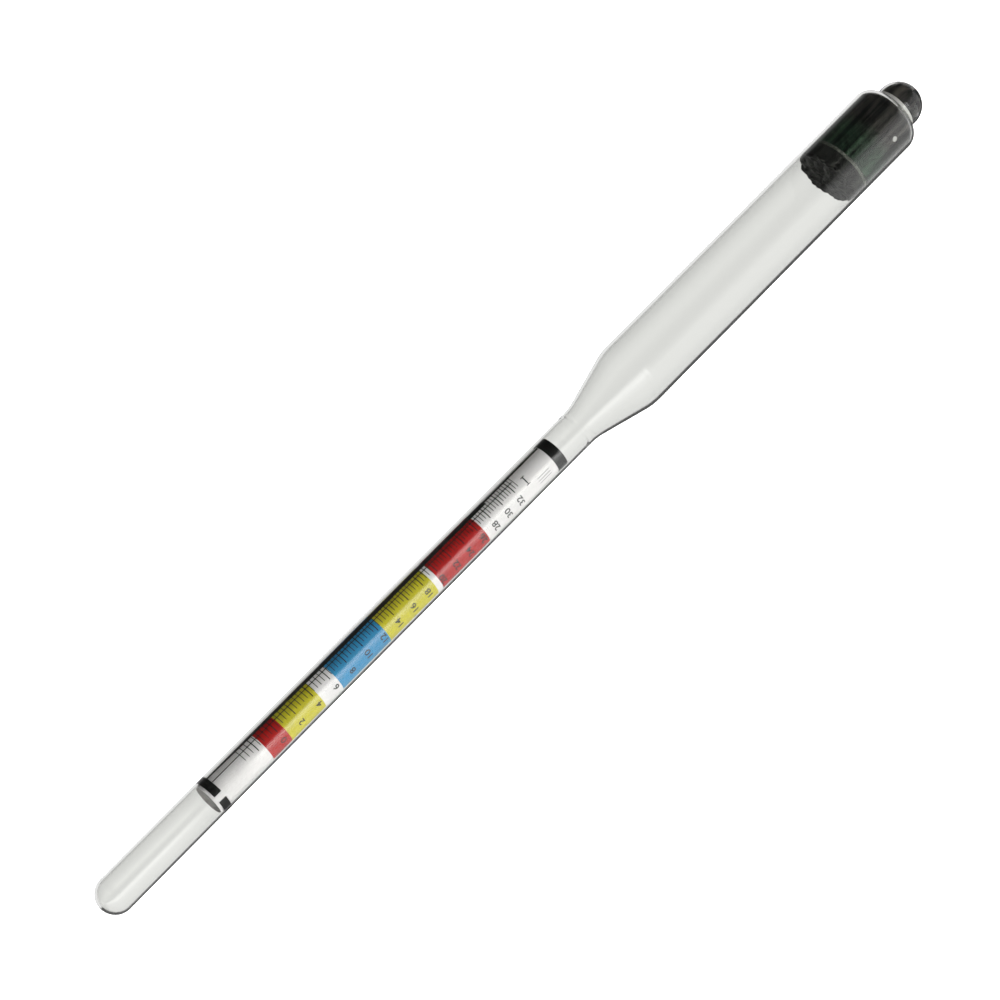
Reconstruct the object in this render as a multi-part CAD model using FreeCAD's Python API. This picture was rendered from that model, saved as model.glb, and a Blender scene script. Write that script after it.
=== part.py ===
"""Glass hydrometer with a rolled paper scale: one STEP file for each piece.

Millimetres. The axis is Z, with the stem pointing up. The origin is on the axis at the
lowest point of the nub below the float.
"""

import FreeCAD, Part

import math
import os

# Overall sizes
TOTAL_LENGTH = 260.0
FLOAT_R = 8.2
STEM_R = 4.42
FLOAT_WALL = 0.6
STEM_WALL = 0.55

# Bottom of the float: a ball-shaped nub fused to the rounded end of the float
NUB_R = 5.4
NUB_WALL = 0.5
FLOAT_END_Z = 7.4
FLOAT_CORNER_R = 3.4
NUB_CREASE_R = 0.4

# Shoulder: a cone between the float and the stem, with a large blend at each end
CONE_BOTTOM_Z = 96.3
CONE_TOP_Z = 110.9
SHOULDER_BLEND_R = 16.0
WELD_Z = 113.2

# Paper roll inside the stem
PAPER_R = 3.68
PAPER_THICK = 0.12
PAPER_LAP_GAP = 0.05
PAPER_LAP_DEG = 60.0
PAPER_BOTTOM_Z = 120.1
PAPER_TOP_Z = 227.9
LAP_EDGE_DEG = 70.0

# Black tape round the neck end of the roll
NECK_BAND_THICK = 0.07
NECK_BAND_H = 2.7

# Black spring band round the tip end of the roll, split by a gap; angles are from +X
TIP_BAND_THICK = 0.17
TIP_BAND_H = 2.0
TIP_BAND_BOTTOM_Z = 225.2
TIP_BAND_GAP_DEG = 23.0
TIP_BAND_GAP_END_DEG = 263.0

# Printed zones of the scale: name, bottom and top
INK_THICK = 0.03
ZONES = (
    ("zone_red_lower", 144.8, 159.5),
    ("zone_yellow_lower", 161.0, 175.9),
    ("zone_blue", 175.9, 190.65),
    ("zone_yellow_upper", 196.0, 206.3),
    ("zone_red_upper", 206.3, 212.0),
)

# Ballast in the bottom of the float
DISC_Z = 26.2
DISC_THICK = 0.8
DISC_R = 7.5
DISC_TILT_DEG = -2.8
SEAL_TOP_Z = 30.4
SEAL_MENISCUS_R = 0.6
SHOT_R = 1.693
SHOT_CLEARANCE = 0.02
SHOT_LAYERS = 5
SHOT_LAYER_PITCH = 3.05
SHOT_BOTTOM_LAYER_Z = 10.8
SHOT_OUTER_RING = (5.7, 9)
SHOT_INNER_RING = (2.1, 3)
NUB_RING = (2.7, 4)
NUB_RING_Z = 4.7
NUB_RING_HEAP = 2.35

UP = FreeCAD.Vector(0, 0, 1)
ORIGIN = FreeCAD.Vector(0, 0, 0)


def at(radius, z):
    """A point of a meridian profile, in the XZ plane."""
    return FreeCAD.Vector(radius, 0, z)


def towards(start, end, distance):
    """The point that lies the given distance from start, on the way to end."""
    return start + (end - start).normalize() * distance


def circles_meet(centre_a, radius_a, centre_b, radius_b):
    """The crossing, further from the axis, of two circles in the XZ plane."""
    across = centre_b - centre_a
    gap = across.Length
    along = (radius_a**2 - radius_b**2 + gap**2) / (2 * gap)
    height = math.sqrt(radius_a**2 - along**2)
    sideways = FreeCAD.Vector(across.z, 0, -across.x).normalize()
    return towards(centre_a, centre_b, along) + sideways * height


def arc(centre, start, end, radius):
    """The shorter arc round a centre, from start to end."""
    middle = towards(centre, (start + end) * 0.5, radius)
    return Part.Arc(start, middle, end).toShape()


def line(start, end):
    return Part.LineSegment(start, end).toShape()


def blend(before, corner, after, radius):
    """Start and end of the arc that rounds a corner, and the arc itself."""
    back = (before - corner).normalize()
    ahead = (after - corner).normalize()
    half_angle = math.acos(back.dot(ahead)) / 2
    reach = radius / math.tan(half_angle)
    start = corner + back * reach
    end = corner + ahead * reach
    centre = corner + (back + ahead).normalize() * (radius / math.sin(half_angle))
    return start, end, arc(centre, start, end, radius)


def revolve(edges):
    """A solid from a profile that runs from the axis outwards and back to the axis."""
    first = edges[0].firstVertex(True).Point
    last = edges[-1].lastVertex(True).Point
    wire = Part.Wire(Part.__sortEdges__(edges + [line(last, first)]))
    return Part.Face(wire).revolve(ORIGIN, UP, 360)


def float_form(inset, nub_r, neck_r):
    """The float's form up to the weld: nub, crease, rounded end, cylinder and shoulder.

    The outer form has no inset; the cavity is inset by the wall.
    """
    side_r = FLOAT_R - inset
    corner_r = FLOAT_CORNER_R - inset
    crease_r = NUB_CREASE_R + inset
    nub_centre = at(0, NUB_R)
    corner_centre = at(side_r - corner_r, FLOAT_END_Z + inset + corner_r)
    crease = circles_meet(nub_centre, nub_r + crease_r, corner_centre, corner_r + crease_r)
    nub_end = towards(nub_centre, crease, nub_r)
    corner_start = towards(corner_centre, crease, corner_r)
    corner_end = at(side_r, corner_centre.z)

    cone_foot = at(side_r, CONE_BOTTOM_Z)
    cone_head = at(neck_r, CONE_TOP_Z)
    foot_start, foot_end, foot_arc = blend(corner_end, cone_foot, cone_head, SHOULDER_BLEND_R)
    top = at(neck_r, WELD_Z)
    head_start, head_end, head_arc = blend(cone_foot, cone_head, top, SHOULDER_BLEND_R)

    bottom = nub_centre - UP * nub_r
    nub_side = nub_centre + at(nub_r, 0)
    edges = [
        arc(nub_centre, bottom, nub_side, nub_r),
        arc(nub_centre, nub_side, nub_end, nub_r),
        arc(crease, nub_end, corner_start, crease_r),
        arc(corner_centre, corner_start, corner_end, corner_r),
        line(corner_end, foot_start),
        foot_arc,
        line(foot_end, head_start),
        head_arc,
        line(head_end, top),
        line(top, at(0, WELD_Z)),
    ]
    return revolve(edges)


def float_cavity():
    return float_form(FLOAT_WALL, NUB_R - NUB_WALL, STEM_R - STEM_WALL)


def float_bulb():
    """Glass float with its shoulder, open at the weld where the stem begins."""
    return float_form(0.0, NUB_R, STEM_R).cut(float_cavity())


def round_ended_rod(radius, dome_z, top_z):
    """A rod that ends in a hemisphere; from the weld to the top of the dome."""
    edges = [
        line(at(0, WELD_Z), at(radius, WELD_Z)),
        line(at(radius, WELD_Z), at(radius, dome_z)),
        arc(at(0, dome_z), at(radius, dome_z), at(0, top_z), radius),
    ]
    return revolve(edges)


def stem_tube():
    """Glass stem, sealed by a hemispherical tip."""
    dome_z = TOTAL_LENGTH - STEM_R
    bore_r = STEM_R - STEM_WALL
    outside = round_ended_rod(STEM_R, dome_z, TOTAL_LENGTH)
    bore = round_ended_rod(bore_r, dome_z, dome_z + bore_r)
    return outside.cut(bore)


def ring(inner_r, outer_r, bottom_z, top_z):
    height = top_z - bottom_z
    foot = at(0, bottom_z)
    return Part.makeCylinder(outer_r, height, foot).cut(Part.makeCylinder(inner_r, height, foot))


def split_ring(inner_r, outer_r, bottom_z, top_z):
    """A ring with the tip band's gap in it."""
    height = top_z - bottom_z
    foot = at(0, bottom_z)
    turned = 360 - TIP_BAND_GAP_DEG
    outside = Part.makeCylinder(outer_r, height, foot, UP, turned)
    band = outside.cut(Part.makeCylinder(inner_r, height, foot))
    band.rotate(ORIGIN, UP, TIP_BAND_GAP_END_DEG)
    return band


def roll_line(radius, lap_deg):
    """One face of a rolled sheet: a full turn of two half circles, then any lap beneath it."""
    step = PAPER_THICK + PAPER_LAP_GAP
    arcs = [(0.0, radius, 0.0, 180.0), (-step / 2, radius - step / 2, 180.0, 360.0)]
    if lap_deg:
        arcs.append((0.0, radius - step, 0.0, lap_deg))
    edges = []
    for centre_x, arc_r, start_deg, end_deg in arcs:
        circle = Part.Circle(at(centre_x, 0), UP, arc_r)
        edges.append(Part.Arc(circle, math.radians(start_deg), math.radians(end_deg)).toShape())
    return edges


def rolled_sheet(outer_r, thickness, lap_deg, bottom_z, top_z):
    outside = roll_line(outer_r, lap_deg)
    inside = roll_line(outer_r - thickness, lap_deg)
    free_edge = line(outside[0].firstVertex(True).Point, inside[0].firstVertex(True).Point)
    last_edge = line(outside[-1].lastVertex(True).Point, inside[-1].lastVertex(True).Point)
    section = Part.Wire(Part.__sortEdges__(outside + inside + [free_edge, last_edge]))
    roll = Part.Face(section).extrude(UP * (top_z - bottom_z))
    roll.rotate(ORIGIN, UP, LAP_EDGE_DEG)
    roll.translate(at(0, bottom_z))
    return roll


def scale_paper():
    """The scale: a sheet rolled a little more than one turn, its end lapped underneath."""
    return rolled_sheet(PAPER_R, PAPER_THICK, PAPER_LAP_DEG, PAPER_BOTTOM_Z, PAPER_TOP_Z)


def printed_zone(bottom_z, top_z):
    """A coat of printing ink on the paper's outer turn."""
    return rolled_sheet(PAPER_R + INK_THICK, INK_THICK, 0.0, bottom_z, top_z)


def neck_end_band():
    return ring(
        PAPER_R, PAPER_R + NECK_BAND_THICK, PAPER_BOTTOM_Z, PAPER_BOTTOM_Z + NECK_BAND_H
    )


def tip_end_band():
    """Springs outwards, so that it holds the roll in the bore."""
    return split_ring(
        PAPER_R, PAPER_R + TIP_BAND_THICK, TIP_BAND_BOTTOM_Z, TIP_BAND_BOTTOM_Z + TIP_BAND_H
    )


def tilted_slice(bottom_z, top_z):
    """Everything between two levels, both tilted as the retaining disc lies."""
    slab = Part.makeCylinder(2 * FLOAT_R, top_z - bottom_z, at(0, bottom_z))
    slab.rotate(at(0, DISC_Z), FreeCAD.Vector(0, 1, 0), DISC_TILT_DEG)
    return slab


def retaining_disc():
    disc = Part.makeCylinder(DISC_R, DISC_THICK, at(0, DISC_Z - DISC_THICK / 2))
    disc.rotate(at(0, DISC_Z), FreeCAD.Vector(0, 1, 0), DISC_TILT_DEG)
    return disc


def seal_plug():
    """Sealing wax poured on the disc, with a small meniscus up the glass."""
    cavity = float_cavity()
    above_disc = tilted_slice(DISC_Z + DISC_THICK / 2, SEAL_TOP_Z + FLOAT_R)
    bore_r = FLOAT_R - FLOAT_WALL
    pool_r = bore_r - SEAL_MENISCUS_R
    meniscus_top_z = SEAL_TOP_Z + SEAL_MENISCUS_R
    hollow = revolve(
        [
            line(at(0, SEAL_TOP_Z), at(pool_r, SEAL_TOP_Z)),
            arc(
                at(pool_r, meniscus_top_z),
                at(pool_r, SEAL_TOP_Z),
                at(bore_r, meniscus_top_z),
                SEAL_MENISCUS_R,
            ),
            line(at(bore_r, meniscus_top_z), at(FLOAT_R, meniscus_top_z)),
            line(at(FLOAT_R, meniscus_top_z), at(FLOAT_R, WELD_Z)),
            line(at(FLOAT_R, WELD_Z), at(0, WELD_Z)),
        ]
    )
    return cavity.common(above_disc).cut(hollow)


def ball_ring(ring_r, count, z, turn_deg):
    """Centres of evenly spaced balls on a circle."""
    centres = []
    for i in range(count):
        angle = math.radians(turn_deg + i * 360 / count)
        centres.append(FreeCAD.Vector(ring_r * math.cos(angle), ring_r * math.sin(angle), z))
    return centres


def shot_centres():
    """Balls in the nub, then layers of two rings, each layer turned to sit in the one below."""
    centres = [at(0, NUB_RING_Z - NUB_RING_HEAP)]
    centres += ball_ring(*NUB_RING, NUB_RING_Z, 0)
    centres += [at(0, NUB_RING_Z + NUB_RING_HEAP)]
    half_space = 180 / SHOT_OUTER_RING[1]
    for layer in range(SHOT_LAYERS):
        z = SHOT_BOTTOM_LAYER_Z + layer * SHOT_LAYER_PITCH
        odd = layer % 2
        centres += ball_ring(*SHOT_OUTER_RING, z, odd * half_space)
        centres += ball_ring(*SHOT_INNER_RING, z, half_space + odd * 60)
    return centres


def ballast_shot():
    return Part.makeCompound([Part.makeSphere(SHOT_R, centre) for centre in shot_centres()])


def ballast_pitch():
    """Binder that fills the nub and the float's end round the shot, up to the disc."""
    filled = float_cavity().common(tilted_slice(-FLOAT_R, DISC_Z - DISC_THICK / 2))
    bed_r = SHOT_R + SHOT_CLEARANCE
    return filled.cut([Part.makeSphere(bed_r, centre) for centre in shot_centres()])


def export(name, shape):
    if not shape.isValid():
        raise ValueError(name + " isn't a valid shape")
    shape.exportStep("parts/" + name + ".step")
    print(f"{name}: {len(shape.Solids)} solid(s), {shape.Volume:.1f} mm3")


def main():
    os.makedirs("parts", exist_ok=True)
    export("float_bulb", float_bulb())
    export("stem_tube", stem_tube())
    export("scale_paper", scale_paper())
    for name, bottom_z, top_z in ZONES:
        export(name, printed_zone(bottom_z, top_z))
    export("neck_end_band", neck_end_band())
    export("tip_end_band", tip_end_band())
    export("retaining_disc", retaining_disc())
    export("seal_plug", seal_plug())
    export("ballast_pitch", ballast_pitch())
    export("ballast_shot", ballast_shot())


main()
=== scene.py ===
"""Looks of a glass hydrometer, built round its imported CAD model.

The CAD is upright, with its axis on Z and the stem up. Sizes below are in millimetres and
become metres where a mesh is made. Angles round the axis are in degrees, from the side that
faces the camera (-Y), positive towards +X.
"""

import math

import bmesh
import bpy
from mathutils import Matrix, Vector, noise


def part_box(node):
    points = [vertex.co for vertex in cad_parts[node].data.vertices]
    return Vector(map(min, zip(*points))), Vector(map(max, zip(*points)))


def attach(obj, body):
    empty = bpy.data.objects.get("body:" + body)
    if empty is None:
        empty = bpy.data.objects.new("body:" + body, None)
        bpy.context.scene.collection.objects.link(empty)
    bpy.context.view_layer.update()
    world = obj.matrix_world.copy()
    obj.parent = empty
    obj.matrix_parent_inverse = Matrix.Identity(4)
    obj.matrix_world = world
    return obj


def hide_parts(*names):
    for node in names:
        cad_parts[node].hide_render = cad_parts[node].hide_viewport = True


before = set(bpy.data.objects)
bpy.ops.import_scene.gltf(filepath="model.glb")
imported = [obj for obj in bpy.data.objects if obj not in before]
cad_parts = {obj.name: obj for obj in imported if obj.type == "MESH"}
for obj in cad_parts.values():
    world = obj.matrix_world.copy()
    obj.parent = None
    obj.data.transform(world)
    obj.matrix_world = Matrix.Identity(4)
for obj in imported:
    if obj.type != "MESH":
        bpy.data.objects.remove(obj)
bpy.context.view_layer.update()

MM = 0.001

# Camera: distance, tilt above the horizontal, and the turn of the picture round the view axis
CAMERA_DISTANCE = 900.0
CAMERA_LENS = 150.0
CAMERA_TILT = 16.0
CAMERA_ROLL = -135.19
CAMERA_AIM = (1.0, 0.0, 136.4)

# Glass outlines that the frame's boxes don't give; the same values as the CAD's
FLOAT_WALL = 0.6
STEM_WALL = 0.55
NUB_R = 5.4
NUB_WALL = 0.5
FLOAT_END_Z = 7.4
FLOAT_CORNER_R = 3.4
NUB_CREASE_R = 0.4
CONE_BOTTOM_Z = 96.3
CONE_TOP_Z = 110.9
SHOULDER_BLEND_R = 16.0
# How far the glass swells at the weld, outwards and into the bore, and along the axis
WELD_SWELL = 0.06
WELD_SWELL_INSIDE = 0.08
WELD_HALF_WIDTH = 0.5
WELD_REACH = 2.0
# Unevenness of drawn tube: (share of the radius, turn per millimetre, start)
DRAWN_WAVES = ((0.0012, 0.21, 0.0), (0.0008, 0.093, 1.7))

# Meshes: facets round the glass and the ballast, longest step round the paper, in degrees, and
# the angle from which an edge is shaded sharp
GLASS_SEGMENTS = 128
BALLAST_SEGMENTS = 96
PAPER_STEP_DEG = 4.0
SHARP_DEG = 50.0
# A turned outline's point nearer the axis than this is on it
AXIS_MARGIN = 1e-6

# Scale of potential alcohol, in percent by volume. Each mark is where the stem meets the surface
# of must with that much sugar: 17 g/l for each percent, above 22 g/l of other solids. The first
# marks are below nought, for finished wine. The mass is the CAD's.
MASS_G = 27.16
WATER_MARK_Z = 211.5
SOLIDS_DENSITY = 0.0083
DENSITY_PER_PERCENT = 0.006375
MARK_STEP = 0.4
FIRST_MARK = -8
LAST_MARK = 82
MARKS_PER_NUMBER = 5
MM_PER_CM = 10

# Inks
RED = (0.4, 0.011, 0.01)
YELLOW = (0.49, 0.445, 0.026)
BLUE = (0.036, 0.235, 0.45)
BLACK = (0.02, 0.02, 0.02)
# Painted shade: what the paper's tones are multiplied by on the roll's inner side, which lies in
# shade inside the roll
INNER_SIDE_SHADE = (0.62, 0.62, 0.6)

# Green cast of the binder, which sets in between two levels: a factor, and a little added light
CAST_FROM_Z = 15.5
CAST_FULL_Z = 21.0
CAST_FACTOR = (0.6, 1.15, 0.8)
CAST_LIGHT = (0.0, 0.009, 0.003)
# Painted highlight: a pale spot in the binder, against the glass, for a glint of light there; its
# edge is soft by a share of its radius
GLINT_AT = (-4.6, -6.0, 14.4)
GLINT_R = 0.6
GLINT_EDGE = 0.25
PAINTED_GLINT = (0.42, 0.42, 0.4)
# Painted light: a pale ring of the binder in the crease between the float and the nub, for the
# bright line that the glass shows there
CREASE_Z = 6.85
CREASE_HALF = 0.5
CREASE_HIGHLIGHT = (0.6, 0.6, 0.57)

# Bands; the tip's one springs out against the glass, and leaves a gap between its ends
NECK_BAND_R = 3.75
TIP_BAND_PRESS = 0.01
TIP_BAND_GAP = (-30.0, -7.0)
# Each stands a hair off the paper, and has a narrow row of faces along each rim
BAND_LIFT = 0.002
BAND_RIM = 0.15

# Printed lines along the scale, as (z, turn) points; their widths are in degrees
# The margin line is print along the sheet's edge, and is also painted shade: its width reaches in
# over the paper's shaded side
MARGIN_LINE = ((140.0, 54.5), (184.0, 54.5), (205.0, 60.5), (225.1, 70.0))
MARGIN_AND_SHADE_WIDTH = 23.0
NECK_MARGIN_LINE = ((122.9, 56.5), (140.0, 56.5))
NECK_MARGIN_WIDTH = 11.0
LADDER_LINE = ((132.7, 30.3), (225.1, 33.5))
LADDER_WIDTH = 3.5
LONG_LINE_STEPS = 40
FINE_LINE_Z = (124.6, 128.2)
FINE_LINE_TURNS = (-44.0, -34.0, -24.0)
FINE_LINE_WIDTH = 1.4
# Marks round the scale: the turn of the end that is away from the margin, and the width
NUMBERED_MARK = (-3.0, 0.24)
PLAIN_MARK = (5.0, 0.17)
# Bracket: a line round the scale, with a short line along it at each end
BRACKET_Z = 130.4
BRACKET_TURNS = (-14.0, 16.0)
BRACKET_WIDTH = 0.28
BRACKET_END = 0.55
BRACKET_END_WIDTH = 3.0
# Numbers; a capital takes this share of the font's size
NUMBER_TURN = -37.0
NUMBER_HEIGHT = 1.5
NUMBER_BOLD = 0.04
CAPITAL_SHARE = 0.7
NUMBER_STRIP = 0.2

# Coats of ink over the paper: the zones are first, and the black print is on top of them
ZONE_LIFT = 0.001
ZONE_THICK = 0.01
ZONE_END_GAP = 0.5
INK_LIFT = 0.012
INK_THICK = 0.008


def box_mm(node):
    """Lowest and highest corner of a CAD node, in millimetres."""
    low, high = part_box(node)
    return low / MM, high / MM


FLOAT_R = box_mm("float_bulb")[1].x
STEM_R = box_mm("stem_tube")[1].x
STEM_BORE_R = STEM_R - STEM_WALL
WELD_Z = box_mm("stem_tube")[0].z
TIP_Z = box_mm("stem_tube")[1].z
PAPER_BOTTOM_Z = box_mm("scale_paper")[0].z
PAPER_TOP_Z = box_mm("scale_paper")[1].z
# Roll of the paper: its outer radius and thickness, how far it steps in to pass under its own
# edge, the turn of that edge, how far the sheet's end goes on under it, and the slit beside it
PAPER_R = 3.68
PAPER_THICK = 0.12
ROLL_STEP = 0.17
LAP_EDGE_TURN = 160.0
LAP_DEG = 60.0
LAP_SLIT_DEG = 0.01


# ---------------------------------------------------------------- meshes

def new_object(name, mesh, material):
    """A piece of the object, in millimetres, that rides on the only body."""
    mesh.transform(Matrix.Scale(MM, 4))
    mesh.materials.append(material)
    for polygon in mesh.polygons:
        polygon.use_smooth = True
    mesh.set_sharp_from_angle(angle=math.radians(SHARP_DEG))
    piece = bpy.data.objects.new(name, mesh)
    bpy.context.scene.collection.objects.link(piece)
    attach(piece, "root")
    return piece


def mesh_from(name, vertices, faces):
    mesh = bpy.data.meshes.new(name)
    mesh.from_pydata(vertices, [], faces)
    mesh.validate()
    mesh.update()
    return mesh


def lathe_shell(profile, segments, shape=None):
    """Vertices and faces of a surface turned from (radius, z) points, from axis to axis.

    shape(x, y, z) may move each vertex.
    """
    vertices = []
    rings = []
    for radius, z in profile:
        if radius < AXIS_MARGIN:
            rings.append([len(vertices)])
            vertices.append((0.0, 0.0, z))
            continue
        rings.append(list(range(len(vertices), len(vertices) + segments)))
        for i in range(segments):
            turn = 2 * math.pi * i / segments
            vertices.append((radius * math.cos(turn), radius * math.sin(turn), z))
    if shape:
        vertices = [shape(*vertex) for vertex in vertices]
    faces = []
    for lower, upper in zip(rings, rings[1:]):
        for i in range(segments):
            j = (i + 1) % segments
            corners = [lower[i % len(lower)], lower[j % len(lower)]]
            corners += [upper[j % len(upper)], upper[i % len(upper)]]
            faces.append(list(dict.fromkeys(corners)))
    return vertices, faces


def roll_radius(turn_deg):
    """The roll's outer surface; over its second half turn it tucks in under its own edge."""
    rolled = (turn_deg - LAP_EDGE_TURN) % 360
    if rolled <= 180:
        return PAPER_R
    return PAPER_R - ROLL_STEP / 2 * (1 + math.cos(math.radians(rolled)))


def ribbon(vertices, faces, rows, lift, thick, radius_at=roll_radius):
    """Adds a closed thin sheet round the axis. Each row is (z, start, end) with turns in degrees."""
    widest = max(end - start for _, start, end in rows)
    steps = max(1, math.ceil(widest / PAPER_STEP_DEG))
    base = len(vertices)
    for z, start, end in rows:
        for i in range(steps + 1):
            turn_deg = start + (end - start) * i / steps
            turn = math.radians(turn_deg)
            for r in (radius_at(turn_deg) + lift, radius_at(turn_deg) + lift + thick):
                vertices.append((r * math.sin(turn), -r * math.cos(turn), z))
    across = steps + 1

    def add_face(*corners):
        faces.append([base + 2 * (row * across + i) + side for row, i, side in corners])

    last_row = len(rows) - 1
    for row in range(last_row):
        above = row + 1
        for i in range(steps):
            for side in (0, 1):
                add_face((row, i, side), (row, i + 1, side), (above, i + 1, side), (above, i, side))
        for i in (0, steps):
            add_face((row, i, 0), (row, i, 1), (above, i, 1), (above, i, 0))
    for row in (0, last_row):
        for i in range(steps):
            add_face((row, i, 0), (row, i + 1, 0), (row, i + 1, 1), (row, i, 1))


def facing_outwards(mesh):
    work = bmesh.new()
    work.from_mesh(mesh)
    bmesh.ops.recalc_face_normals(work, faces=work.faces)
    work.to_mesh(mesh)
    work.free()
    return mesh


# ---------------------------------------------------------------- outlines

def arc_points(centre, radius, start_deg, end_deg, steps):
    """Points on an arc, without its first one."""
    points = []
    for i in range(1, steps + 1):
        turn = math.radians(start_deg + (end_deg - start_deg) * i / steps)
        points.append((centre[0] + radius * math.cos(turn), centre[1] + radius * math.sin(turn)))
    return points


def line_points(start, end, steps):
    """Points on a line, without its first one."""
    return [
        tuple(a + (b - a) * i / steps for a, b in zip(start, end)) for i in range(1, steps + 1)
    ]


def bearing(centre, point):
    return math.degrees(math.atan2(point[1] - centre[1], point[0] - centre[0]))


def circles_meet(centre_a, radius_a, centre_b, radius_b):
    """The crossing, further from the axis, of two circles."""
    across = Vector(centre_b) - Vector(centre_a)
    gap = across.length
    along = (radius_a**2 - radius_b**2 + gap**2) / (2 * gap)
    height = math.sqrt(radius_a**2 - along**2)
    side = Vector((across.y, -across.x)) / gap
    return Vector(centre_a) + across / gap * along + side * height


def blended_corner(before, corner, after, radius, steps):
    """Points that round a corner of an outline by a tangent arc."""
    corner = Vector(corner)
    back = (Vector(before) - corner).normalized()
    ahead = (Vector(after) - corner).normalized()
    half_angle = math.acos(back.dot(ahead)) / 2
    centre = corner + (back + ahead).normalized() * (radius / math.sin(half_angle))
    start = corner + back * (radius / math.tan(half_angle))
    end = corner + ahead * (radius / math.tan(half_angle))
    start_deg = bearing(centre, start)
    turn = (bearing(centre, end) - start_deg + 180) % 360 - 180
    return [tuple(start)] + arc_points(centre, radius, start_deg, start_deg + turn, steps)


def float_outline(inset, nub_r, neck_r):
    """The float's outline from the axis below the nub up to the neck; inset by the wall inside."""
    side_r = FLOAT_R - inset
    corner_r = FLOAT_CORNER_R - inset
    crease_r = NUB_CREASE_R + inset
    nub_centre = (0.0, NUB_R)
    corner_centre = (side_r - corner_r, FLOAT_END_Z + inset + corner_r)
    crease = circles_meet(nub_centre, nub_r + crease_r, corner_centre, corner_r + crease_r)
    nub_end_deg = bearing(nub_centre, crease)
    crease_start_deg = nub_end_deg + 180
    crease_end_deg = bearing(crease, corner_centre)
    corner_start_deg = bearing(corner_centre, crease)
    cone_foot = (side_r, CONE_BOTTOM_Z)
    cone_head = (neck_r, CONE_TOP_Z)
    side_foot = (side_r, corner_centre[1])
    points = [(0.0, NUB_R - nub_r)]
    points += arc_points(nub_centre, nub_r, -90, nub_end_deg, steps=30)
    points += arc_points(crease, crease_r, crease_start_deg, crease_end_deg, steps=6)
    points += arc_points(corner_centre, corner_r, corner_start_deg, 0, steps=14)
    foot_blend = blended_corner(side_foot, cone_foot, cone_head, SHOULDER_BLEND_R, steps=8)
    points += line_points(side_foot, foot_blend[0], steps=36)
    points += foot_blend[1:]
    weld = (neck_r, WELD_Z)
    head_blend = blended_corner(cone_foot, cone_head, weld, SHOULDER_BLEND_R, steps=8)
    points += line_points(foot_blend[-1], head_blend[0], steps=6)
    points += head_blend[1:]
    return points


def weld_swell(z, height):
    """How far the glass stands out where the stem was fused to the neck."""
    return height * math.exp(-(((z - WELD_Z) / WELD_HALF_WIDTH) ** 2))


def glass_outline(float_points, stem_r, swell):
    """Carries the float's outline on up the stem and round its tip."""
    dome_z = TIP_Z - STEM_R
    neck = float_points[-1]
    above_weld = (stem_r, WELD_Z + WELD_REACH)
    bead = line_points(neck, above_weld, steps=12)
    stem = line_points(above_weld, (stem_r, dome_z), steps=60)
    dome = arc_points((0.0, dome_z), stem_r, 0, 90, steps=18)
    dome[-1] = (0.0, dome_z + stem_r)
    bead = [(r + weld_swell(z, swell), z) for r, z in bead]
    return float_points + bead + stem + dome


# ---------------------------------------------------------------- materials

def principled(name, **values):
    """A material and its shader, with constant values set on the shader's own sockets."""
    material = bpy.data.materials.new(name)
    material.use_nodes = True
    shader = material.node_tree.nodes["Principled BSDF"]
    for socket, value in values.items():
        shader.inputs[socket.replace("_", " ")].default_value = value
    return material, shader


def noise_mix(material, shader, tones, scale, stretch=(1, 1, 1), detail=4.0, span=(0.35, 0.65)):
    """Colour that wanders between two tones, over a span of the noise, which is returned.

    scale is per millimetre, and stretch multiplies it along each axis.
    """
    nodes = material.node_tree.nodes
    links = material.node_tree.links
    place = nodes.new("ShaderNodeTexCoord")
    mapping = nodes.new("ShaderNodeMapping")
    mapping.inputs["Scale"].default_value = [s * scale / MM for s in stretch]
    cloud = nodes.new("ShaderNodeTexNoise")
    cloud.inputs["Scale"].default_value = 1.0
    cloud.inputs["Detail"].default_value = detail
    ramp = nodes.new("ShaderNodeValToRGB")
    for element, position, tone in zip(ramp.color_ramp.elements, span, tones):
        element.position = position
        element.color = (*tone, 1)
    links.new(place.outputs["Object"], mapping.inputs["Vector"])
    links.new(mapping.outputs["Vector"], cloud.inputs["Vector"])
    links.new(cloud.outputs["Fac"], ramp.inputs["Fac"])
    links.new(ramp.outputs["Color"], shader.inputs["Base Color"])
    return cloud.outputs["Fac"]


def add_bump(material, shader, height, strength, distance_mm):
    """Fine relief that follows a height from 0 to 1."""
    nodes = material.node_tree.nodes
    links = material.node_tree.links
    bump = nodes.new("ShaderNodeBump")
    bump.inputs["Strength"].default_value = strength
    bump.inputs["Distance"].default_value = distance_mm * MM
    links.new(height, bump.inputs["Height"])
    links.new(bump.outputs["Normal"], shader.inputs["Normal"])


def glass_material():
    material, _ = principled(
        "clear_soda_glass",
        Base_Color=(0.99, 0.995, 0.975, 1),
        Roughness=0.0,
        IOR=1.5,
        Transmission_Weight=1.0,
    )
    return material


def calculate(nodes, links, operation, *values):
    """A math node's output. Each value is a number or an output."""
    node = nodes.new("ShaderNodeMath")
    node.operation = operation
    for socket, value in zip(node.inputs, values):
        if isinstance(value, float):
            socket.default_value = value
        else:
            links.new(value, socket)
    return node.outputs["Value"]


def tint(material, shader, factor, tone, blend="MIX"):
    """Blends a tone into the base colour where the factor is 1."""
    nodes = material.node_tree.nodes
    links = material.node_tree.links
    mix = nodes.new("ShaderNodeMix")
    mix.data_type = "RGBA"
    mix.blend_type = blend
    mix.inputs["B"].default_value = (*tone, 1)
    links.new(factor, mix.inputs["Factor"])
    links.new(shader.inputs["Base Color"].links[0].from_socket, mix.inputs["A"])
    links.new(mix.outputs["Result"], shader.inputs["Base Color"])


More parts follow.
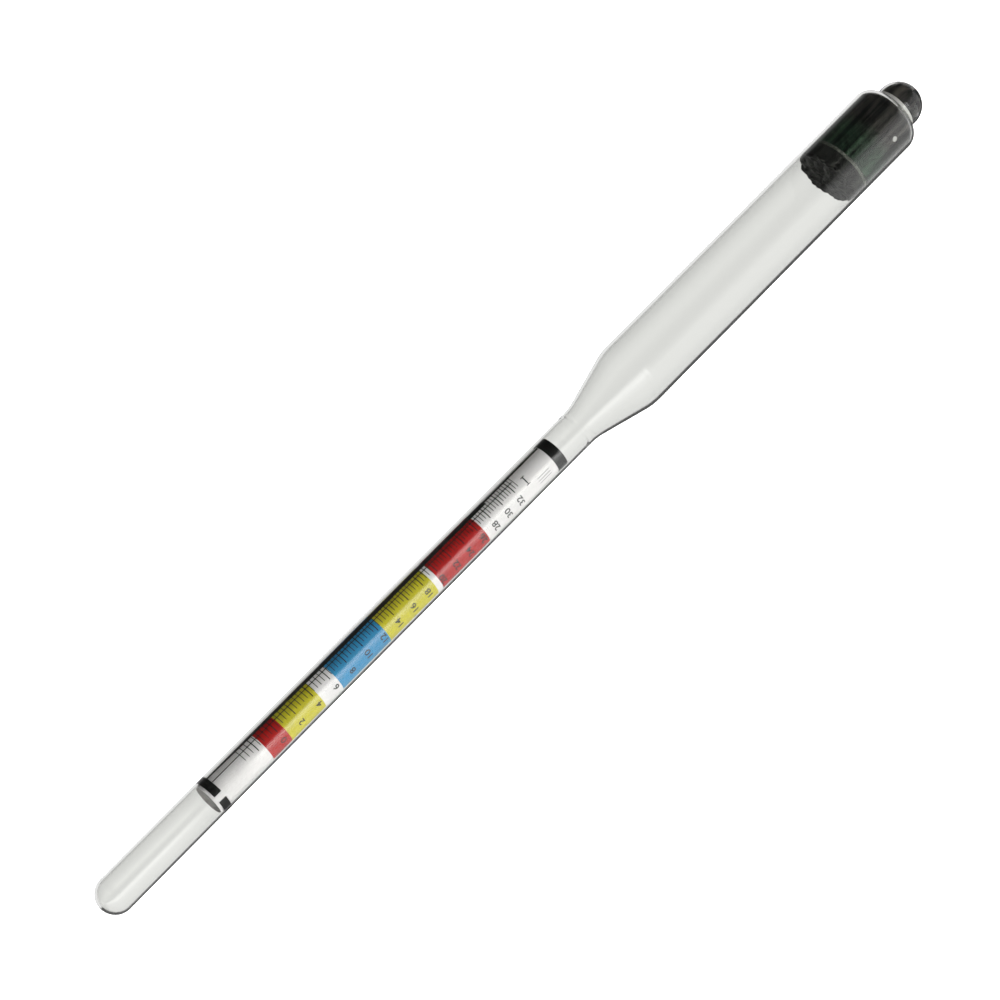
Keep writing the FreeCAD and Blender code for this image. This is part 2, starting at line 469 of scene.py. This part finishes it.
def paper_material():
    """White paper, with painted shade on the roll's inner side, which faces the axis."""
    material, shader = principled("scale_paper", Roughness=0.55)
    nodes = material.node_tree.nodes
    links = material.node_tree.links
    tones = ((0.655, 0.64, 0.65), (0.705, 0.69, 0.7))
    cloud = noise_mix(material, shader, tones, scale=2.5, stretch=(1, 1, 0.5))
    add_bump(material, shader, cloud, strength=0.15, distance_mm=0.02)
    place = nodes.new("ShaderNodeTexCoord")
    outwards = nodes.new("ShaderNodeVectorMath")
    outwards.operation = "DOT_PRODUCT"
    flat = nodes.new("ShaderNodeMapping")
    flat.inputs["Scale"].default_value = (1, 1, 0)
    links.new(place.outputs["Object"], flat.inputs["Vector"])
    links.new(flat.outputs["Vector"], outwards.inputs[0])
    links.new(place.outputs["Normal"], outwards.inputs[1])
    # Painted shade: the roll's inner side, facing the axis, is darkened
    inner_shade = calculate(nodes, links, "LESS_THAN", outwards.outputs["Value"], 0.0)
    tint(material, shader, inner_shade, INNER_SIDE_SHADE, "MULTIPLY")
    return material


def ink_material(name, colour):
    """Printing ink: a little uneven, as the paper takes it."""
    material, shader = principled(name, Roughness=0.5, Specular_IOR_Level=0.15)
    tones = [[level * share for level in colour] for share in (0.86, 1.08)]
    cloud = noise_mix(material, shader, tones, scale=3.0)
    add_bump(material, shader, cloud, strength=0.1, distance_mm=0.01)
    return material


def band_material():
    material, shader = principled("black_band", Roughness=0.35)
    noise_mix(material, shader, ((0.006, 0.006, 0.006), (0.014, 0.014, 0.014)), scale=2.0)
    return material


def wax_material():
    material, shader = principled("black_wax", Roughness=0.4)
    tones = ((0.005, 0.006, 0.005), (0.035, 0.037, 0.032))
    streaks = {"stretch": (1, 1, 0.12), "detail": 5.0, "span": (0.38, 0.68)}
    cloud = noise_mix(material, shader, tones, scale=0.9, **streaks)
    add_bump(material, shader, cloud, strength=0.3, distance_mm=0.1)
    return material


def binder_material():
    """Dark binder: streaks along the glass, green near the disc, painted light in the crease, and a
    painted glint against the glass.
    """
    material, shader = principled("dark_binder", Roughness=0.4)
    nodes = material.node_tree.nodes
    links = material.node_tree.links
    tones = ((0.003, 0.003, 0.003), (0.08, 0.073, 0.064))
    streaks = {"stretch": (1, 1, 0.06), "detail": 3.0, "span": (0.42, 0.68)}
    cloud = noise_mix(material, shader, tones, scale=0.6, **streaks)
    place = nodes.new("ShaderNodeTexCoord")
    split = nodes.new("ShaderNodeSeparateXYZ")
    level = nodes.new("ShaderNodeMapRange")
    level.interpolation_type = "SMOOTHSTEP"
    level.inputs["From Min"].default_value = CAST_FROM_Z * MM
    level.inputs["From Max"].default_value = CAST_FULL_Z * MM
    links.new(place.outputs["Object"], split.inputs["Vector"])
    links.new(split.outputs["Z"], level.inputs["Value"])
    tint(material, shader, level.outputs["Result"], CAST_FACTOR, "MULTIPLY")
    tint(material, shader, level.outputs["Result"], CAST_LIGHT, "ADD")
    # Painted light: a pale ring in the crease
    crease = calculate(nodes, links, "COMPARE", split.outputs["Z"], CREASE_Z * MM, CREASE_HALF * MM)
    tint(material, shader, crease, CREASE_HIGHLIGHT)
    # Painted highlight: a pale spot for a glint against the glass
    gap = nodes.new("ShaderNodeVectorMath")
    gap.operation = "DISTANCE"
    gap.inputs[1].default_value = Vector(GLINT_AT) * MM
    glint_mask = nodes.new("ShaderNodeMapRange")
    glint_mask.inputs["From Min"].default_value = GLINT_R * (1 + GLINT_EDGE) * MM
    glint_mask.inputs["From Max"].default_value = GLINT_R * (1 - GLINT_EDGE) * MM
    links.new(place.outputs["Object"], gap.inputs[0])
    links.new(gap.outputs["Value"], glint_mask.inputs["Value"])
    tint(material, shader, glint_mask.outputs["Result"], PAINTED_GLINT)
    add_bump(material, shader, cloud, strength=0.12, distance_mm=0.1)
    return material


def card_material():
    material, shader = principled("card_disc", Roughness=0.7)
    noise_mix(material, shader, ((0.07, 0.077, 0.063), (0.12, 0.13, 0.11)), scale=3.0)
    return material


def shot_material():
    material, shader = principled("steel_shot", Roughness=0.35, Metallic=1.0)
    noise_mix(material, shader, ((0.22, 0.22, 0.22), (0.4, 0.4, 0.4)), scale=3.0)
    return material


# ---------------------------------------------------------------- glass

def hand_drawn(x, y, z):
    """Drawn tube is never quite even: a hundredth of a millimetre here and there."""
    wave = 1.0
    for share, per_mm, start in DRAWN_WAVES:
        wave += share * math.sin(z * per_mm + start)
    return x * wave, y * wave, z


def make_glass():
    """One sealed envelope with an outer and an inner surface, fused from the float and the stem."""
    outer_float = float_outline(0.0, NUB_R, STEM_R)
    inner_float = float_outline(FLOAT_WALL, NUB_R - NUB_WALL, STEM_BORE_R)
    outside = glass_outline(outer_float, STEM_R, WELD_SWELL)
    inside = glass_outline(inner_float, STEM_BORE_R, -WELD_SWELL_INSIDE)
    vertices, faces = lathe_shell(outside, GLASS_SEGMENTS, hand_drawn)
    inner_vertices, inner_faces = lathe_shell(inside, GLASS_SEGMENTS, hand_drawn)
    base = len(vertices)
    vertices += inner_vertices
    faces += [[i + base for i in reversed(face)] for face in inner_faces]
    mesh = mesh_from("glass_envelope", vertices, faces)
    glass = new_object("glass_envelope", mesh, glass_material())
    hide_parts("float_bulb", "stem_tube")


# ---------------------------------------------------------------- scale

def scale_z(percent):
    """Height of the mark at which the stem floats in must of this strength."""
    density = 1 + SOLIDS_DENSITY + DENSITY_PER_PERCENT * percent
    stem_area_cm2 = math.pi * (STEM_R / MM_PER_CM) ** 2
    return WATER_MARK_Z + MM_PER_CM * MASS_G * (1 / density - 1) / stem_area_cm2


def lap_radius(turn_deg):
    """The roll's outer surface, carried on under its own edge."""
    return PAPER_R - ROLL_STEP if turn_deg > LAP_EDGE_TURN + 360 else roll_radius(turn_deg)


def make_paper():
    """The scale: a sheet rolled a little more than one turn, its end lapped underneath."""
    vertices, faces = [], []
    start, end = LAP_EDGE_TURN + LAP_SLIT_DEG, LAP_EDGE_TURN + 360 + LAP_DEG
    rows = [(PAPER_BOTTOM_Z, start, end), (PAPER_TOP_Z, start, end)]
    ribbon(vertices, faces, rows, -PAPER_THICK, PAPER_THICK, lap_radius)
    mesh = facing_outwards(mesh_from("scale_sheet", vertices, faces))
    paper = new_object("scale_sheet", mesh, paper_material())
    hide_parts("scale_paper")


def make_zone(node, colour):
    """A coat of coloured ink round the paper, from one side of its edge to the other."""
    low, high = box_mm(node)
    vertices, faces = [], []
    start, end = LAP_EDGE_TURN - 360 + ZONE_END_GAP, LAP_EDGE_TURN - ZONE_END_GAP
    ribbon(vertices, faces, [(low.z, start, end), (high.z, start, end)], ZONE_LIFT, ZONE_THICK)
    mesh = facing_outwards(mesh_from(node + "_ink", vertices, faces))
    piece = new_object(node + "_ink", mesh, ink_material(node + "_ink", colour))
    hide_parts(node)


def make_band(node, outer_r, start_deg, end_deg):
    """A black band round the paper, from one turn to another."""
    low, high = box_mm(node)
    vertices, faces = [], []
    levels = (low.z, low.z + BAND_RIM, high.z - BAND_RIM, high.z)
    rows = [(z, start_deg, end_deg) for z in levels]
    inner_r = PAPER_R + BAND_LIFT
    ribbon(vertices, faces, rows, 0.0, outer_r - inner_r, lambda turn_deg: inner_r)
    mesh = facing_outwards(mesh_from(node + "_black", vertices, faces))
    piece = new_object(node + "_black", mesh, band_material())
    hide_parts(node)


def between(points, z):
    """The turn at a height, on a line through (z, turn) points."""
    for (z0, turn0), (z1, turn1) in zip(points, points[1:]):
        if z <= z1:
            break
    return turn0 + (turn1 - turn0) * (z - z0) / (z1 - z0)


def arc_line(vertices, faces, z, start_deg, end_deg, width):
    """A printed line round the paper."""
    rows = [(z - width / 2, start_deg, end_deg), (z + width / 2, start_deg, end_deg)]
    ribbon(vertices, faces, rows, INK_LIFT, INK_THICK)


def long_line(vertices, faces, points, width_deg, steps=1):
    """A printed line along the paper, through (z, turn) points, in steps short enough to hug it."""
    bottom_z, top_z = points[0][0], points[-1][0]
    rows = []
    for i in range(steps + 1):
        z = bottom_z + (top_z - bottom_z) * i / steps
        turn = between(points, z)
        rows.append((z, turn - width_deg / 2, turn + width_deg / 2))
    ribbon(vertices, faces, rows, INK_LIFT, INK_THICK)


def make_graduations(ink):
    """Ladder of marks between two long lines, which run a little askew, and a bracket below."""
    vertices, faces = [], []
    for mark in range(FIRST_MARK, LAST_MARK + 1):
        z = scale_z(mark * MARK_STEP)
        inner_end, width = PLAIN_MARK if mark % MARKS_PER_NUMBER else NUMBERED_MARK
        arc_line(vertices, faces, z, inner_end, between(MARGIN_LINE, z), width)
    # Print and painted shade: the wide margin line darkens the paper's shaded side
    long_line(vertices, faces, MARGIN_LINE, MARGIN_AND_SHADE_WIDTH, LONG_LINE_STEPS)
    long_line(vertices, faces, NECK_MARGIN_LINE, NECK_MARGIN_WIDTH)
    long_line(vertices, faces, LADDER_LINE, LADDER_WIDTH, LONG_LINE_STEPS)
    for turn in FINE_LINE_TURNS:
        long_line(vertices, faces, [(z, turn) for z in FINE_LINE_Z], FINE_LINE_WIDTH)
    arc_line(vertices, faces, BRACKET_Z, *BRACKET_TURNS, BRACKET_WIDTH)
    bracket_levels = (BRACKET_Z - BRACKET_END, BRACKET_Z + BRACKET_END)
    for turn in BRACKET_TURNS:
        long_line(vertices, faces, [(z, turn) for z in bracket_levels], BRACKET_END_WIDTH)
    mesh = facing_outwards(mesh_from("graduation_lines", vertices, faces))
    new_object("graduation_lines", mesh, ink)


def number_mesh(text, height):
    """A number as a flat mesh in millimetres, centred, cut into narrow strips for wrapping."""
    curve = bpy.data.curves.new("number", "FONT")
    curve.body = text
    curve.size = height / CAPITAL_SHARE
    curve.align_x = "CENTER"
    curve.align_y = "CENTER"
    curve.resolution_u = 3
    curve.offset = NUMBER_BOLD
    carrier = bpy.data.objects.new("number", curve)
    flat = bmesh.new()
    flat.from_mesh(carrier.to_mesh())
    carrier.to_mesh_clear()
    bpy.data.objects.remove(carrier)
    bpy.data.curves.remove(curve)
    cuts = int(max(abs(vertex.co.x) for vertex in flat.verts) / NUMBER_STRIP)
    for i in range(-cuts, cuts + 1):
        everything = flat.verts[:] + flat.edges[:] + flat.faces[:]
        cut_at = (i * NUMBER_STRIP, 0, 0)
        bmesh.ops.bisect_plane(flat, geom=everything, plane_co=cut_at, plane_no=(1, 0, 0))
    return flat


def wrap_number(whole, text, height, turn_deg, z):
    """Adds a number, wrapped round the paper and given the ink's thickness."""
    flat = number_mesh(text, height)
    for vertex in flat.verts:
        turn = math.radians(turn_deg) + vertex.co.x / PAPER_R
        radius = roll_radius(math.degrees(turn)) + INK_LIFT
        vertex.co = Vector((radius * math.sin(turn), -radius * math.cos(turn), z + vertex.co.y))
    sheet = flat.faces[:]
    raised = bmesh.ops.extrude_face_region(flat, geom=sheet)
    for item in raised["geom"]:
        if isinstance(item, bmesh.types.BMVert):
            outward = Vector((item.co.x, item.co.y, 0)).normalized()
            item.co += outward * INK_THICK
    bmesh.ops.recalc_face_normals(flat, faces=flat.faces)
    part = bpy.data.meshes.new("number")
    flat.to_mesh(part)
    flat.free()
    whole.from_mesh(part)
    bpy.data.meshes.remove(part)


def make_numbers(ink):
    """The numbers beside the ladder of marks."""
    whole = bmesh.new()
    for mark in range(0, LAST_MARK + 1, MARKS_PER_NUMBER):
        percent = mark * MARK_STEP
        wrap_number(whole, f"{percent:.0f}", NUMBER_HEIGHT, NUMBER_TURN, scale_z(percent))
    mesh = bpy.data.meshes.new("graduation_numbers")
    whole.to_mesh(mesh)
    whole.free()
    new_object("graduation_numbers", mesh, ink)


# ---------------------------------------------------------------- ballast

DISC_LOW, DISC_HIGH = box_mm("retaining_disc")
# The disc's thickness, and its tilt in degrees, which raises it towards +X; as in the CAD
DISC_THICK = 0.8
DISC_TILT = 2.8
DISC_Z = (DISC_LOW.z + DISC_HIGH.z) / 2
DISC_SLOPE = math.tan(math.radians(DISC_TILT))
CORNER_TOP_Z = FLOAT_END_Z + FLOAT_CORNER_R
# The cavity's outline is taken up to a little above its corner, short of the side's next point
SIDE_MARGIN = 1.0
BINDER_TOP_Z = DISC_Z - DISC_THICK / 2
WAX_BOTTOM_Z = DISC_Z + DISC_THICK / 2
# Top of the wax: its middle is below the CAD's rim, and it slopes up towards +X
SEAL_MIDDLE_DROP = 1.0
SEAL_TOP_Z = box_mm("seal_plug")[1].z - SEAL_MIDDLE_DROP
SEAL_SLOPE = 0.08
WAX_RIM_DROP = 0.2
WAX_RIM_R = 0.5
# The fill stays this far off the float's glass; in the nub it goes this far in, and wets it
FILL_GAP = 0.03
FILL_R = FLOAT_R - FLOAT_WALL - FILL_GAP
# How unevenly the fill met the glass, as a share of the radius: the weights of an even part, of
# streaks and of grain, and how fast these two change across and along the axis, per millimetre
WALL_DEPTH = 0.006
EVEN_WEIGHT = 0.6
STREAK_WEIGHT = 0.8
GRAIN_WEIGHT = 0.4
STREAK_RATES = (0.9, 0.16)
GRAIN_RATES = (2.1, 1.3)
# Unevenness of the wax's top: broad lumps, and scallops on them; in the middle they have only a
# share of their height
MIDDLE_SHARE = 0.35
LUMP_RATE = 0.55
LUMP_HEIGHT = 0.6
SCALLOP_RATE = 1.3
SCALLOP_HEIGHT = 0.25
# Where each of them reads the noise, so that no two are alike
BINDER_SEED = 3.0
WAX_SEED = 9.0
LUMP_SEED = 7.0
SCALLOP_SEED = 11.0


def uneven(x, y, z, across, along, seed):
    """Smooth noise at a point; across and along say how fast it changes, per millimetre."""
    return noise.noise(Vector((x * across, y * across, z * along + seed)))


def rough_wall(x, y, z, seed):
    """Draws a point in towards the axis by an uneven amount, in streaks along the axis."""
    streak = uneven(x, y, z, *STREAK_RATES, seed)
    grain = uneven(x, y, z, *GRAIN_RATES, seed)
    shrink = 1 - WALL_DEPTH * (EVEN_WEIGHT + STREAK_WEIGHT * streak + GRAIN_WEIGHT * grain)
    return x * min(shrink, 1.0), y * min(shrink, 1.0)


def binder_shape(x, y, z):
    """Roughens the binder's wall, and tilts its top to lie under the disc."""
    share = max(0.0, (z - CORNER_TOP_Z) / (BINDER_TOP_Z - CORNER_TOP_Z))
    wall_x, wall_y = rough_wall(x, y, z, BINDER_SEED)
    return wall_x, wall_y, z + x * DISC_SLOPE * share


def make_binder():
    """Fill of the nub, which wets its glass, and of the float's end, up to the tilted disc."""
    cavity = float_outline(FLOAT_WALL + FILL_GAP, NUB_R - NUB_WALL + FILL_GAP, STEM_BORE_R)
    rim = (FILL_R, BINDER_TOP_Z)
    points = [point for point in cavity if point[1] < CORNER_TOP_Z + SIDE_MARGIN]
    points += line_points(points[-1], rim, steps=40)
    points += line_points(rim, (0.0, BINDER_TOP_Z), steps=10)
    vertices, faces = lathe_shell(points, BALLAST_SEGMENTS, binder_shape)
    mesh = facing_outwards(mesh_from("ballast_binder", vertices, faces))
    piece = new_object("ballast_binder", mesh, binder_material())
    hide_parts("ballast_pitch")


def wax_shape(x, y, z):
    """Tilts the wax's bottom to lie on the disc, and makes its top lumpy, most at the rim."""
    share = (z - WAX_BOTTOM_Z) / (SEAL_TOP_Z - WAX_BOTTOM_Z)
    lump = LUMP_HEIGHT * uneven(x, y, 0.0, LUMP_RATE, 0.0, LUMP_SEED)
    scallop = SCALLOP_HEIGHT * uneven(x, y, 0.0, SCALLOP_RATE, 0.0, SCALLOP_SEED)
    reach = math.hypot(x, y) / FLOAT_R
    wall_x, wall_y = rough_wall(x, y, z, WAX_SEED)
    spread = MIDDLE_SHARE + (1 - MIDDLE_SHARE) * reach
    rise = (SEAL_SLOPE * x + (lump + scallop) * spread) * share**3
    return wall_x, wall_y, z + x * DISC_SLOPE * (1 - share) + rise


def make_wax():
    """Wax on the disc: it set with a lumpy top and a ragged rim against the glass."""
    foot = (FILL_R, WAX_BOTTOM_Z)
    shoulder = (FILL_R, SEAL_TOP_Z - WAX_RIM_DROP)
    points = [(0.0, WAX_BOTTOM_Z)]
    points += line_points(points[0], foot, steps=10)
    points += line_points(foot, shoulder, steps=16)
    points += arc_points((FILL_R - WAX_RIM_R, shoulder[1]), WAX_RIM_R, 0, 90, steps=5)
    points += line_points(points[-1], (0.0, SEAL_TOP_Z), steps=16)
    vertices, faces = lathe_shell(points, BALLAST_SEGMENTS, wax_shape)
    mesh = facing_outwards(mesh_from("wax_plug", vertices, faces))
    piece = new_object("wax_plug", mesh, wax_material())
    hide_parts("seal_plug")


def paint_node(node, material):
    """Gives a CAD node a better material."""
    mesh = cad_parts[node].data
    mesh.materials.clear()
    mesh.materials.append(material)


# ---------------------------------------------------------------- studio

# Brightness of the surroundings against the bearing of a ray, in degrees from +Y towards -X.
# What the glass mirrors: a dark side at +X, a white backdrop, a dark gap, and a large window.
MIRRORED = (
    (-180, 0.03), (-72, 0.03), (-60, 0.3), (-47, 0.35), (-43, 0.8), (-1, 0.8), (0.5, 0.1),
    (43, 0.1), (46, 0.9), (60, 0.7), (80, 0.7), (100, 0.92), (141, 0.92), (167, 0.03), (180, 0.03),
)
# A brighter strip at the window's edge, above a level
STRIP = ((-180, 0.0), (118, 0.0), (138, 0.7), (149, 1.9), (157, 1.9), (172, 0.0), (180, 0.0))
STRIP_LEVELS = ((-1.0, 0.0), (-0.315, 0.0), (-0.29, 1.0), (1.0, 1.0))
# A dark bar across the window, by level and by bearing
BAR_LEVELS = ((-1.0, 0.0), (-0.190, 0.0), (-0.187, 0.95), (-0.175, 0.95), (-0.171, 0.0), (1.0, 0.0))
BAR = ((-180, 0.0), (60, 0.0), (64, 1.0), (180, 1.0))
# What is left of a reflection in the far wall, whose rays have gone through more glass than this
FAR_WALL_SHARE = 0.45
NEAR_WALL_SURFACES = 2.5
# What lights the matt pieces: the large window, weaker light from behind, and little from +X
SOFT_LIGHT = (
    (-180, 2.3), (-174, 0.27), (-80, 0.27), (-72, 1.05), (-2, 1.05), (2, 0.8), (96, 0.8), (102, 3.5),
    (177, 3.5), (180, 2.3),
)
# What is seen straight through the glass
THROUGH_GLASS = (
    (-180, 0.8), (-60, 0.76), (-24, 0.84), (-13, 0.78), (-6, 0.765), (-3.6, 0.8), (-2.2, 0.85),
    (-1, 0.86), (0, 0.82), (1.2, 0.85), (180, 0.87),
)
BACKDROP = 1.1
FLOOR_HALF = 6.0
FLOOR_GLOW = 1.3


def follow(nodes, links, measure, stops):
    """The stops' value at a measure, such as a ray's bearing; returns an output."""
    first, last = stops[0][0], stops[-1][0]
    peak = max(value for _, value in stops)
    share = nodes.new("ShaderNodeMapRange")
    share.inputs["From Min"].default_value = first
    share.inputs["From Max"].default_value = last
    links.new(measure, share.inputs["Value"])
    ramp = nodes.new("ShaderNodeValToRGB")
    elements = ramp.color_ramp.elements
    while len(elements) < len(stops):
        elements.new(0.5)
    for element, (place, value) in zip(elements, stops):
        element.position = (place - first) / (last - first)
        element.color = (value / peak, value / peak, value / peak, 1)
    links.new(share.outputs["Result"], ramp.inputs["Fac"])
    return calculate(nodes, links, "MULTIPLY", ramp.outputs["Color"], peak)


def choose(nodes, links, switch, when_on, when_off):
    """when_on where the switch is 1 or more, otherwise when_off. Each is a number or an output."""
    picked = nodes.new("ShaderNodeMix")
    picked.data_type = "FLOAT"
    picked.clamp_factor = True
    links.new(switch, picked.inputs["Factor"])
    for socket, value in (("A", when_off), ("B", when_on)):
        if isinstance(value, float):
            picked.inputs[socket].default_value = value
        else:
            links.new(value, picked.inputs[socket])
    return picked.outputs["Result"]


def make_world():
    """White studio: the camera sees white, and other rays see the surroundings named above."""
    world = bpy.data.worlds.new("studio")
    bpy.context.scene.world = world
    world.use_nodes = True
    world.cycles.sampling_method = "NONE"
    nodes = world.node_tree.nodes
    links = world.node_tree.links
    place = nodes.new("ShaderNodeTexCoord")
    split = nodes.new("ShaderNodeSeparateXYZ")
    links.new(place.outputs["Generated"], split.inputs["Vector"])
    leftward = calculate(nodes, links, "MULTIPLY", split.outputs["X"], -1.0)
    turn = calculate(nodes, links, "ARCTAN2", leftward, split.outputs["Y"])
    bearing_deg = calculate(nodes, links, "DEGREES", turn)
    bar_share = follow(nodes, links, split.outputs["Z"], BAR_LEVELS)
    bar = follow(nodes, links, bearing_deg, BAR)
    strip_share = follow(nodes, links, split.outputs["Z"], STRIP_LEVELS)
    strip = follow(nodes, links, bearing_deg, STRIP)
    mirrored = follow(nodes, links, bearing_deg, MIRRORED)
    soft = follow(nodes, links, bearing_deg, SOFT_LIGHT)
    through = follow(nodes, links, bearing_deg, THROUGH_GLASS)
    mirrored = calculate(nodes, links, "MULTIPLY_ADD", strip, strip_share, mirrored)
    shade = calculate(nodes, links, "MULTIPLY", bar, bar_share)
    clear = calculate(nodes, links, "SUBTRACT", 1.0, shade)
    mirrored = calculate(nodes, links, "MULTIPLY", mirrored, clear)
    path = nodes.new("ShaderNodeLightPath")
    crossed = path.outputs["Transmission Depth"]
    far = calculate(nodes, links, "GREATER_THAN", crossed, NEAR_WALL_SURFACES)
    far_share = choose(nodes, links, far, FAR_WALL_SHARE, 1.0)
    mirrored = calculate(nodes, links, "MULTIPLY", mirrored, far_share)
    seen = choose(nodes, links, path.outputs["Glossy Depth"], mirrored, through)
    seen = choose(nodes, links, path.outputs["Diffuse Depth"], soft, seen)
    seen = choose(nodes, links, path.outputs["Is Camera Ray"], BACKDROP, seen)
    links.new(seen, nodes["Background"].inputs["Strength"])
    nodes["Background"].inputs["Color"].default_value = (1, 1, 1, 1)


def make_floor():
    """A large white table under the nub, lit evenly enough to show no edge."""
    corners = [(x * FLOOR_HALF, y * FLOOR_HALF, 0) for x, y in ((-1, -1), (1, -1), (1, 1), (-1, 1))]
    mesh = mesh_from("floor", corners, [[0, 1, 2, 3]])
    material, shader = principled("white_table", Base_Color=(0.9, 0.9, 0.9, 1), Roughness=0.9)
    shader.inputs["Emission Color"].default_value = (1, 1, 1, 1)
    shader.inputs["Emission Strength"].default_value = FLOOR_GLOW
    mesh.materials.append(material)
    floor = bpy.data.objects.new("floor", mesh)
    bpy.context.scene.collection.objects.link(floor)
    floor.visible_transmission = False
    floor.visible_glossy = False
    floor.visible_diffuse = False


def make_camera():
    """Looks at the upright object from -Y and a little above, with the picture turned."""
    camera_data = bpy.data.cameras.new("camera")
    camera_data.lens = CAMERA_LENS
    camera_data.sensor_width = 36.0
    camera_data.clip_start = 0.01
    camera_data.clip_end = 50.0
    camera = bpy.data.objects.new("camera", camera_data)
    bpy.context.scene.collection.objects.link(camera)
    tilt = math.radians(CAMERA_TILT)
    back = Vector((0, -math.cos(tilt), math.sin(tilt)))
    aim = Vector(CAMERA_AIM) * MM
    upright = back.to_track_quat("Z", "Y").to_matrix().to_4x4()
    roll = Matrix.Rotation(math.radians(CAMERA_ROLL), 4, "Z")
    camera.matrix_world = Matrix.Translation(aim + back * CAMERA_DISTANCE * MM) @ upright @ roll
    bpy.context.scene.camera = camera


def make_picture_settings():
    """Plain view, with room for light to find its way through the glass."""
    scene = bpy.context.scene
    scene.view_settings.view_transform = "Standard"
    scene.view_settings.look = "None"
    scene.cycles.max_bounces = 24
    scene.cycles.transmission_bounces = 20
    scene.cycles.glossy_bounces = 8


def main():
    make_camera()
    make_world()
    make_floor()
    make_picture_settings()
    make_glass()
    make_paper()
    make_zone("zone_red_lower", RED)
    make_zone("zone_yellow_lower", YELLOW)
    make_zone("zone_blue", BLUE)
    make_zone("zone_yellow_upper", YELLOW)
    make_zone("zone_red_upper", RED)
    make_band("neck_end_band", NECK_BAND_R, -180.0, 180.0)
    gap_start, gap_end = TIP_BAND_GAP
    make_band("tip_end_band", STEM_BORE_R + TIP_BAND_PRESS, gap_end, gap_start + 360)
    black_ink = ink_material("black_ink", BLACK)
    make_graduations(black_ink)
    make_numbers(black_ink)
    make_binder()
    make_wax()
    paint_node("retaining_disc", card_material())
    paint_node("ballast_shot", shot_material())


main()
